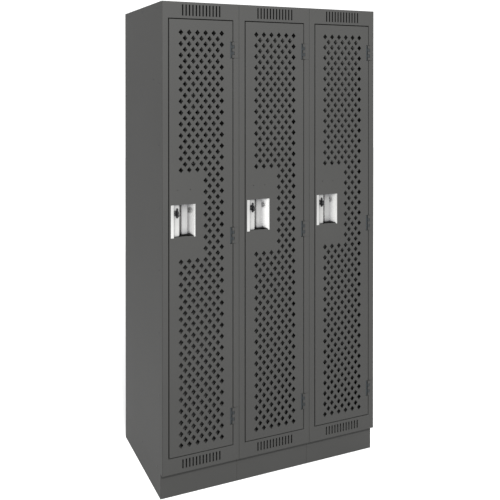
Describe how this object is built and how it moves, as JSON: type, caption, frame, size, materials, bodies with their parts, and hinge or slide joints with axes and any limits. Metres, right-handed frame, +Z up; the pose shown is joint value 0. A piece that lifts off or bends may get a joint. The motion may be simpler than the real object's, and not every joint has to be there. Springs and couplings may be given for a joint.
{
  "type": "locker cabinet",
  "caption": "Bank of single-tier steel lockers with diamond-perforated doors, recessed stainless handle cups with padlock hasps, knuckle hinges, hat shelves and a recessed closed base.",
  "frame": {"origin": "on the floor, under the middle of the bounding box", "axes": "+Z up, +Y to the back of the lockers, +X to the right as the doors are faced"},
  "size_m": [0.9144, 0.5454, 1.8288],
  "materials": {
    "enamel": "satin charcoal baked enamel on steel sheet",
    "stainless": "bright satin",
    "zinc_plate": "dull zinc",
    "black_oxide": "satin black"
  },
  "bodies": {
    "cabinet": {"left_side_panel": "enamel", "right_side_panel": "enamel", "left_divider_panel": "enamel", "right_divider_panel": "enamel", "top_panel": "enamel", "left_base_end": "enamel", "right_base_end": "enamel", "base_rear": "enamel", "left_door_frame": "enamel", "left_back_panel": "enamel", "left_floor_panel": "enamel", "left_hat_shelf": "enamel", "left_base_front": "enamel", "left_coat_hook_left": "zinc_plate", "left_coat_hook_right": "zinc_plate", "left_top_hinge_frame_leaf": "enamel", "left_middle_hinge_frame_leaf": "enamel", "left_bottom_hinge_frame_leaf": "enamel", "middle_door_frame": "enamel", "middle_back_panel": "enamel", "middle_floor_panel": "enamel", "middle_hat_shelf": "enamel", "middle_base_front": "enamel", "middle_coat_hook_left": "zinc_plate", "middle_coat_hook_right": "zinc_plate", "middle_top_hinge_frame_leaf": "enamel", "middle_middle_hinge_frame_leaf": "enamel", "middle_bottom_hinge_frame_leaf": "enamel", "right_door_frame": "enamel", "right_back_panel": "enamel", "right_floor_panel": "enamel", "right_hat_shelf": "enamel", "right_base_front": "enamel", "right_coat_hook_left": "zinc_plate", "right_coat_hook_right": "zinc_plate", "right_top_hinge_frame_leaf": "enamel", "right_middle_hinge_frame_leaf": "enamel", "right_bottom_hinge_frame_leaf": "enamel"},
    "left_door_leaf": {"left_door": "enamel", "left_door_back": "enamel", "left_handle_cup": "stainless", "left_top_hinge_door_leaf": "enamel", "left_middle_hinge_door_leaf": "enamel", "left_bottom_hinge_door_leaf": "enamel"},
    "left_lift": {"left_lift_hasp": "black_oxide"},
    "middle_door_leaf": {"middle_door": "enamel", "middle_door_back": "enamel", "middle_handle_cup": "stainless", "middle_top_hinge_door_leaf": "enamel", "middle_middle_hinge_door_leaf": "enamel", "middle_bottom_hinge_door_leaf": "enamel"},
    "middle_lift": {"middle_lift_hasp": "black_oxide"},
    "right_door_leaf": {"right_door": "enamel", "right_door_back": "enamel", "right_handle_cup": "stainless", "right_top_hinge_door_leaf": "enamel", "right_middle_hinge_door_leaf": "enamel", "right_bottom_hinge_door_leaf": "enamel"},
    "right_lift": {"right_lift_hasp": "black_oxide"}
  },
  "joints": [
    {"name": "left_door_swing", "type": "hinge", "parent": "cabinet", "child": "left_door_leaf", "pos_m": [-0.17745, -0.2603, 0.96], "axis": [0, 0, 1], "range_deg": [0, 110]},
    {"name": "left_hasp_lift", "type": "slide", "parent": "left_door_leaf", "child": "left_lift", "axis": [0, 0, 1], "range_m": [0, 0.009]},
    {"name": "middle_door_swing", "type": "hinge", "parent": "cabinet", "child": "middle_door_leaf", "pos_m": [0.12735, -0.2603, 0.96], "axis": [0, 0, 1], "range_deg": [0, 110]},
    {"name": "middle_hasp_lift", "type": "slide", "parent": "middle_door_leaf", "child": "middle_lift", "axis": [0, 0, 1], "range_m": [0, 0.009]},
    {"name": "right_door_swing", "type": "hinge", "parent": "cabinet", "child": "right_door_leaf", "pos_m": [0.43215, -0.2603, 0.96], "axis": [0, 0, 1], "range_deg": [0, 110]},
    {"name": "right_hasp_lift", "type": "slide", "parent": "right_door_leaf", "child": "right_lift", "axis": [0, 0, 1], "range_m": [0, 0.009]}
  ]
}
